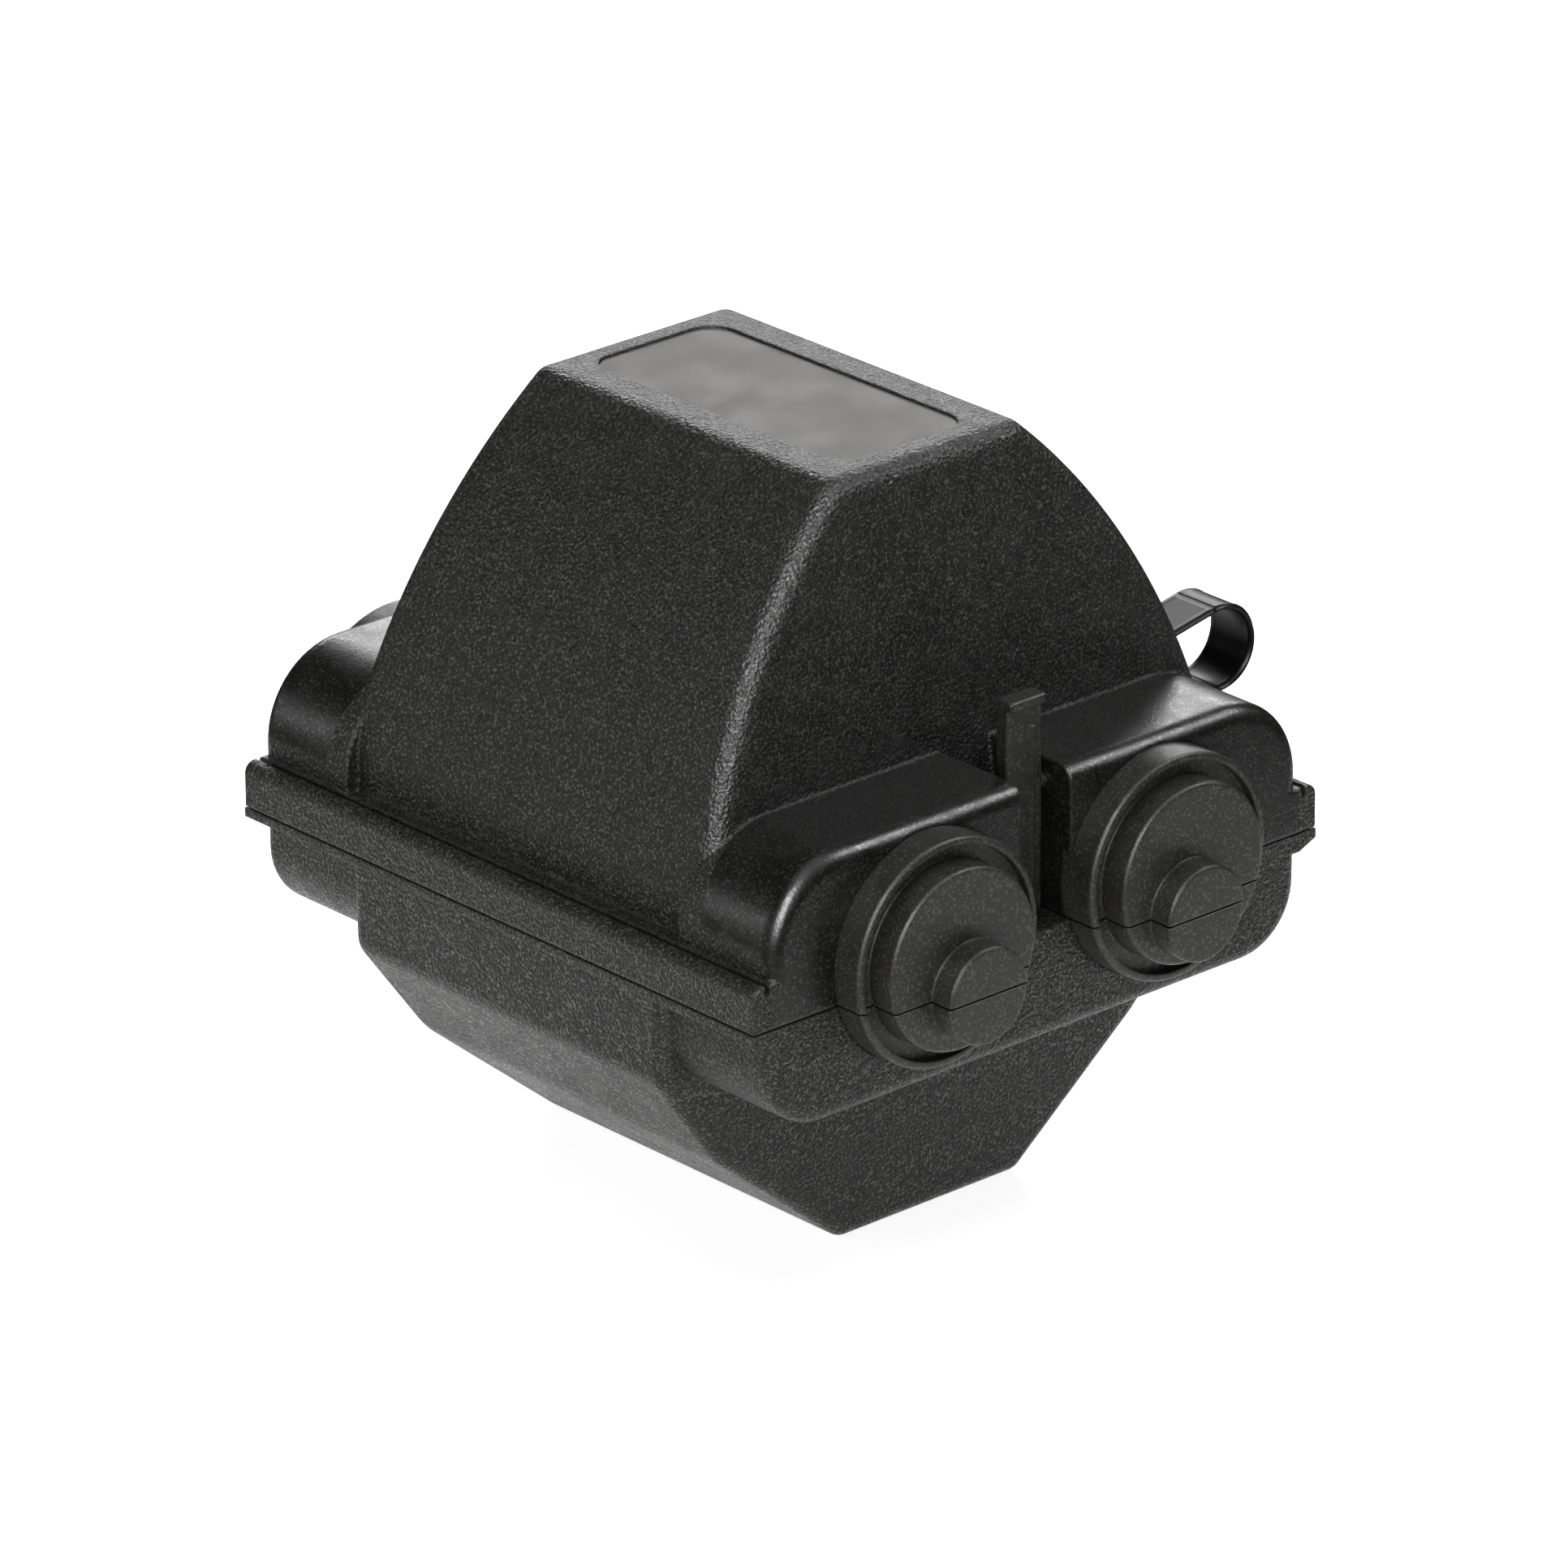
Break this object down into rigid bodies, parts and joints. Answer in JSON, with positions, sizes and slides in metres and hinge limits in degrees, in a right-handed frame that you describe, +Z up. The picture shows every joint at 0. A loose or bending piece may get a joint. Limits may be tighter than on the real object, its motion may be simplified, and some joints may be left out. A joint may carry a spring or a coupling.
{
  "type": "cable joint box",
  "caption": "Re-enterable gel cable joint box: two moulded shells on a strap, snap latches, split stepped cable entries and a terminal block inside.",
  "frame": {"origin": "centre of the flat resting face under the lower shell", "axes": "+X across the box towards the strap, +Y along the cables towards the rear end, +Z up through the dome"},
  "size_m": [0.1262, 0.116, 0.1007],
  "materials": {
    "shell": "fine moulded grain",
    "entry": "smooth, half-gloss",
    "latch": "smooth, half-gloss",
    "strap": "smooth, flexible",
    "label": "matt printed film, blank",
    "seal": "soft cord",
    "gel": "soft clear sealing gel",
    "terminal_body": "natural polyamide",
    "terminal_brass": "drawn tube",
    "screw_steel": "zinc plated",
    "clamp": "glass-filled polyamide"
  },
  "bodies": {
    "base": {"block_screws": "screw_steel", "clamp_bar_front": "clamp", "clamp_bar_rear": "clamp", "clamp_screws": "screw_steel", "entry_front_left_lower": "entry", "entry_front_right_lower": "entry", "entry_rear_left_lower": "entry", "entry_rear_right_lower": "entry", "hinge_strap": "strap", "lower_gel": "gel", "lower_shell": "shell", "side_seal_left": "seal", "side_seal_right": "seal", "terminal_block": "terminal_body", "terminal_screws": "screw_steel", "terminal_tubes": "terminal_brass"},
    "lid": {"upper_shell": "shell", "label_plate": "label", "upper_gel": "gel", "entry_front_left_upper": "entry", "entry_front_right_upper": "entry", "entry_rear_left_upper": "entry", "entry_rear_right_upper": "entry"},
    "front_latch": {"latch_front": "latch"},
    "rear_latch": {"latch_rear": "latch"}
  },
  "joints": [
    {"name": "lid_hinge", "type": "hinge", "parent": "base", "child": "lid", "pos_m": [0.07885, 0, 0.0473], "axis": [0, 1, 0], "range_deg": [0, 165], "deforming": ["hinge_strap", "latch_front", "latch_rear"]},
    {"name": "front_latch_rock", "type": "hinge", "parent": "lid", "child": "front_latch", "pos_m": [0.0008, -0.0425, 0.0609], "axis": [1, 0, 0], "range_deg": [0, 8], "stiffness_Nm_per_rad": 0.2},
    {"name": "rear_latch_rock", "type": "hinge", "parent": "lid", "child": "rear_latch", "pos_m": [0.0008, 0.0425, 0.0609], "axis": [-1, 0, 0], "range_deg": [0, 8], "stiffness_Nm_per_rad": 0.2}
  ]
}
